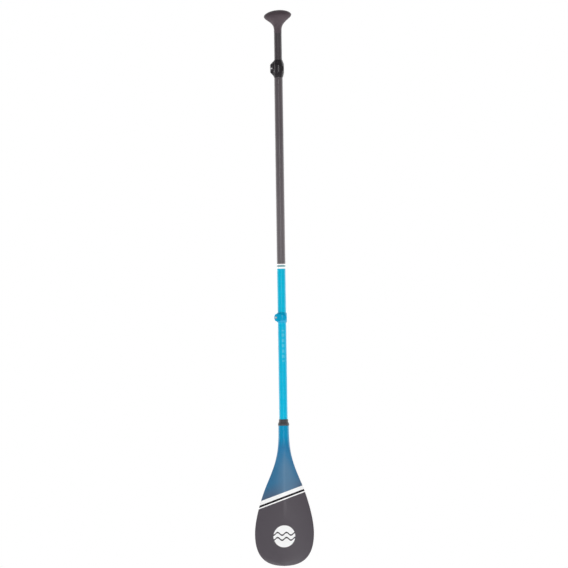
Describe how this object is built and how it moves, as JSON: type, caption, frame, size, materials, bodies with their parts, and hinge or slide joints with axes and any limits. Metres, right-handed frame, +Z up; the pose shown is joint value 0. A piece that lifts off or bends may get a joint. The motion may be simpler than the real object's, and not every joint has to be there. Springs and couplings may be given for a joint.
{
  "type": "stand-up paddle",
  "caption": "Single-blade stand-up paddle with a palm grip, a telescoping handle and a take-apart blade section, each held by a cam-lever clamp.",
  "frame": {"origin": "on the shaft's axis at the middle of the middle shaft, 1.280 m above the blade's tip, where a hand or a rack clip holds the shaft", "axes": "+Z up along the shaft towards the grip, +X across the blade, -Y the side that the levers close round and the blade rakes towards"},
  "size_m": [0.2, 0.0792, 1.8802],
  "materials": {
    "grip_plastic": "fine-grained soft-touch moulding, satin black",
    "charcoal_tube": "glass-fibre tube, dark charcoal, satin lacquer",
    "middle_tube": "glass-fibre tube, charcoal above and bright blue below two white bands, satin lacquer",
    "blue_tube": "glass-fibre tube, bright blue, gloss lacquer",
    "black_nylon": "moulded black nylon, satin",
    "blue_nylon": "moulded blue nylon, gloss",
    "blade_skin": "glass-fibre skin, blue fading to grey-blue, slanted white stripes, charcoal below, satin lacquer",
    "steel": "stainless steel, turned",
    "seal_rubber": "black seal rubber",
    "foam": "pale closed-cell foam"
  },
  "bodies": {
    "middle_section": {"middle_shaft": "middle_tube", "middle_float_plug": "foam", "joint_ferrule": "charcoal_tube", "ferrule_cap": "black_nylon", "upper_clamp_collar": "black_nylon", "upper_clamp_barrel": "steel", "upper_clamp_bolt": "steel", "upper_clamp_wear_plate": "steel", "upper_clamp_washer": "steel"},
    "handle_section": {"handle_grip": "grip_plastic", "handle_tube": "charcoal_tube", "handle_end_plug": "black_nylon", "handle_seal": "seal_rubber"},
    "upper_lever": {"upper_clamp_lever": "black_nylon"},
    "blade_section": {"blade_shaft": "blue_tube", "blade_float_plug": "foam", "neck_ring": "black_nylon", "blade_front": "blade_skin", "blade_back": "blade_skin", "blade_core": "foam", "lower_clamp_collar": "blue_nylon", "lower_clamp_barrel": "steel", "lower_clamp_bolt": "steel", "lower_clamp_wear_plate": "steel", "lower_clamp_washer": "steel"},
    "lower_lever": {"lower_clamp_lever": "blue_nylon"}
  },
  "joints": [
    {"name": "handle_slide", "type": "slide", "parent": "middle_section", "child": "handle_section", "axis": [0, 0, 1], "range_m": [-0.08, 0.32]},
    {"name": "upper_lever_hinge", "type": "hinge", "parent": "middle_section", "child": "upper_lever", "pos_m": [-0.0205, -0.0171, 0.402], "axis": [0, 0, -1], "range_deg": [0, 140]},
    {"name": "blade_slide", "type": "slide", "parent": "middle_section", "child": "blade_section", "axis": [0, 0, -1], "range_m": [0, 0.115]},
    {"name": "lower_lever_hinge", "type": "hinge", "parent": "blade_section", "child": "lower_lever", "pos_m": [-0.0183, -0.0171, -0.4405], "axis": [0, 0, -1], "range_deg": [0, 140]}
  ]
}
